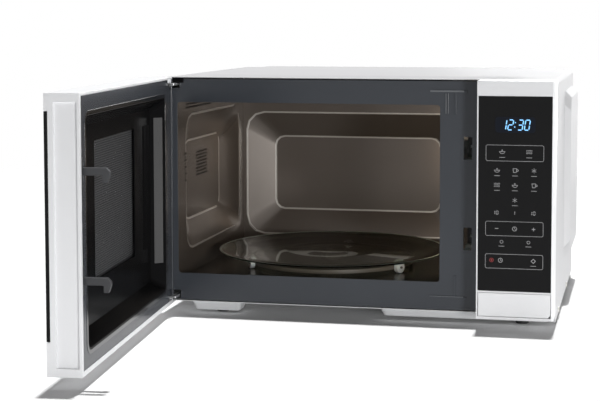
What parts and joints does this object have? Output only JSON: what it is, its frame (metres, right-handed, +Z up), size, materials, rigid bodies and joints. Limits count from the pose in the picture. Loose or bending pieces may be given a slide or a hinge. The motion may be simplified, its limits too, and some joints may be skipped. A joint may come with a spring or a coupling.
{
  "type": "microwave oven",
  "caption": "Countertop microwave oven with a side-hinged open door, turntable, latch hooks and a touch control side with a door button.",
  "frame": {"origin": "on the surface the oven stands on, below the middle of its cabinet", "axes": "+Z up, -Y out of the oven's front, +X to the control side"},
  "size_m": [0.5313, 0.8023, 0.3066],
  "materials": {
    "aluminium": "satin",
    "black_glass": "gloss",
    "black_plastic": "matte",
    "cavity_paint": "satin",
    "circuit_board": "matte",
    "clear_glass": "gloss",
    "clear_plastic": "gloss",
    "dark_plastic": "matte",
    "grey_paint": "satin",
    "mica": "matte",
    "painted_steel": "satin",
    "rubber": "matte",
    "steel": "satin",
    "white_part": "matte",
    "white_plastic": "satin"
  },
  "bodies": {
    "cabinet": {"outer_wrap": "painted_steel", "base_plate": "steel", "front_plate": "grey_paint", "rear_panel": "painted_steel", "cavity_left": "cavity_paint", "cavity_right": "cavity_paint", "cavity_floor": "cavity_paint", "cavity_roof": "cavity_paint", "cavity_back": "cavity_paint", "foot_front_left": "rubber", "foot_rear_left": "rubber", "foot_front_right": "rubber", "foot_rear_right": "rubber", "control_fascia": "white_plastic", "control_glass": "black_glass", "display_module": "dark_plastic", "control_board": "circuit_board", "button_spring": "steel", "latch_bracket": "white_part", "door_switch_1": "black_plastic", "door_switch_2": "black_plastic", "door_switch_3": "black_plastic", "lever_pin": "steel", "waveguide": "aluminium", "waveguide_cover": "mica", "magnetron": "aluminium", "hv_transformer": "steel", "hv_capacitor": "aluminium", "hv_diode": "black_plastic", "fan_shroud": "white_part", "fan_motor": "aluminium", "filter_board": "circuit_board", "cord_gland": "black_plastic", "oven_lamp": "aluminium", "thermal_cutout": "white_part", "cover_screws": "steel", "turntable_motor": "steel", "hinge_upper": "steel", "hinge_lower": "steel"},
    "door": {"door_frame": "white_plastic", "door_glass": "black_glass", "door_panel": "grey_paint", "window_screen": "steel", "window_pane": "clear_plastic", "choke_cover": "black_plastic", "latch_spring": "steel"},
    "latch": {"door_latch": "dark_plastic"},
    "button": {"open_button": "white_plastic"},
    "lever": {"interlock_lever": "white_part"},
    "plunger_1": {"switch_plunger_1": "white_part"},
    "plunger_2": {"switch_plunger_2": "white_part"},
    "plunger_3": {"switch_plunger_3": "white_part"},
    "fan": {"fan_blade": "black_plastic"},
    "coupler": {"turntable_coupler": "white_part"},
    "tray": {"glass_tray": "clear_glass"},
    "ring": {"roller_ring": "white_part"},
    "wheel_1": {"roller_1": "white_part"},
    "wheel_2": {"roller_2": "white_part"},
    "wheel_3": {"roller_3": "white_part"}
  },
  "joints": [
    {"name": "door_hinge", "type": "hinge", "parent": "cabinet", "child": "door", "pos_m": [-0.2464, -0.2016, 0.1595], "axis": [0, 0, 1], "range_deg": [-10, 85]},
    {"name": "latch_lift", "type": "slide", "parent": "door", "child": "latch", "axis": [0, 0, 1], "range_m": [0, 0.004], "stiffness_N_per_m": 250, "springref_m": -0.003, "deforming": ["latch_spring"]},
    {"name": "button_press", "type": "slide", "parent": "cabinet", "child": "button", "axis": [0, 1, 0], "range_m": [0, 0.004], "stiffness_N_per_m": 400, "springref_m": -0.002, "deforming": ["button_spring"]},
    {"name": "lever_turn", "type": "hinge", "parent": "cabinet", "child": "lever", "pos_m": [0.1639, -0.184, 0.071], "axis": [1, 0, 0], "range_deg": [0, 6.5]},
    {"name": "plunger_1_press", "type": "slide", "parent": "cabinet", "child": "plunger_1", "axis": [0, 1, 0], "range_m": [0, 0.001], "stiffness_N_per_m": 150, "springref_m": -0.001},
    {"name": "plunger_2_press", "type": "slide", "parent": "cabinet", "child": "plunger_2", "axis": [0, 1, 0], "range_m": [0, 0.001], "stiffness_N_per_m": 150, "springref_m": -0.001},
    {"name": "plunger_3_press", "type": "slide", "parent": "cabinet", "child": "plunger_3", "axis": [0, 1, 0], "range_m": [0, 0.001], "stiffness_N_per_m": 150, "springref_m": -0.001},
    {"name": "fan_spin", "type": "hinge", "parent": "cabinet", "child": "fan", "pos_m": [0.17895, 0.17, 0.175], "axis": [0, 1, 0], "continuous": true},
    {"name": "turntable_spin", "type": "hinge", "parent": "cabinet", "child": "coupler", "pos_m": [-0.06265, -0.0292, 0.0425], "axis": [0, 0, 1], "continuous": true},
    {"name": "tray_lift", "type": "slide", "parent": "coupler", "child": "tray", "axis": [0, 0, 1], "range_m": [0, 0.12]},
    {"name": "ring_spin", "type": "hinge", "parent": "cabinet", "child": "ring", "pos_m": [-0.06265, -0.0292, 0.0425], "axis": [0, 0, 1], "continuous": true},
    {"name": "wheel_1_spin", "type": "hinge", "parent": "ring", "child": "wheel_1", "pos_m": [0.03881, -0.08544, 0.0503], "axis": [0.8746, -0.4848, 0], "continuous": true},
    {"name": "wheel_2_spin", "type": "hinge", "parent": "ring", "child": "wheel_2", "pos_m": [-0.06467, 0.08678, 0.0503], "axis": [-0.0175, 0.9998, 0], "continuous": true},
    {"name": "wheel_3_spin", "type": "hinge", "parent": "ring", "child": "wheel_3", "pos_m": [-0.16208, -0.08894, 0.0503], "axis": [-0.8572, -0.515, 0], "continuous": true}
  ],
  "couplings": [
    {"joint": "lever_turn", "follows": "button_press", "rad_per_m": 26.596},
    {"joint": "ring_spin", "follows": "turntable_spin", "ratio": 0.5},
    {"joint": "wheel_1_spin", "follows": "turntable_spin", "ratio": -7.7333},
    {"joint": "wheel_2_spin", "follows": "turntable_spin", "ratio": -7.7333},
    {"joint": "wheel_3_spin", "follows": "turntable_spin", "ratio": -7.7333}
  ]
}
